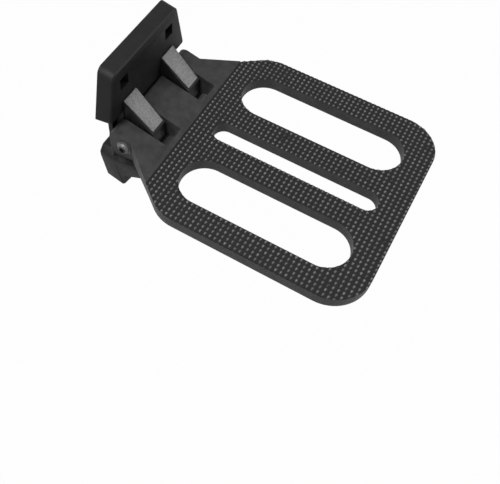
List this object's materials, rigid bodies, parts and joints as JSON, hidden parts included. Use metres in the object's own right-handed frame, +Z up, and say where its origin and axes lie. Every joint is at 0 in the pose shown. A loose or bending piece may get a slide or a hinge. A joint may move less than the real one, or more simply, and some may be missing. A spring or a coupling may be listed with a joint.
{
  "type": "folding caravan entry step",
  "caption": "Folding entry step: a slotted, studded tread plate hinged between two lugs of a wall bracket; folds flat against the wall.",
  "frame": {"origin": "centre of the four wall bolts, on the bracket's back face; the tips of the grip points on the tread lie at the same height", "axes": "+X to the right as seen by someone who faces the step, +Y into the wall, +Z up; the tread reaches out along -Y"},
  "size_m": [0.178, 0.2308, 0.1272],
  "materials": {
    "bracket_coat": "fine black powder coat on a casting",
    "tread_coat": "fine black powder coat on a casting",
    "bare_plate": "blasted grey",
    "steel": "ground",
    "screw_steel": "dark zinc",
    "bronze": "turned"
  },
  "bodies": {
    "bracket": {"wall_bracket": "bracket_coat", "lug_plate_left": "bare_plate", "lug_plate_right": "bare_plate", "plate_dowels_left": "steel", "plate_dowels_right": "steel", "lug_bush_left": "bronze", "lug_bush_right": "bronze", "outer_thrust_washer_left": "bronze", "outer_thrust_washer_right": "bronze", "inner_thrust_washer_left": "bronze", "inner_thrust_washer_right": "bronze", "detent_ball_left": "steel", "detent_ball_right": "steel", "detent_spring_left": "steel", "detent_spring_right": "steel"},
    "tread": {"tread": "tread_coat", "hinge_shaft": "steel", "hinge_screw_left": "screw_steel", "hinge_screw_right": "screw_steel", "screw_washer_left": "screw_steel", "screw_washer_right": "screw_steel"}
  },
  "joints": [
    {"name": "fold", "type": "hinge", "parent": "bracket", "child": "tread", "pos_m": [0, -0.0218, -0.0041], "axis": [-1, 0, 0], "range_deg": [0, 90]}
  ]
}
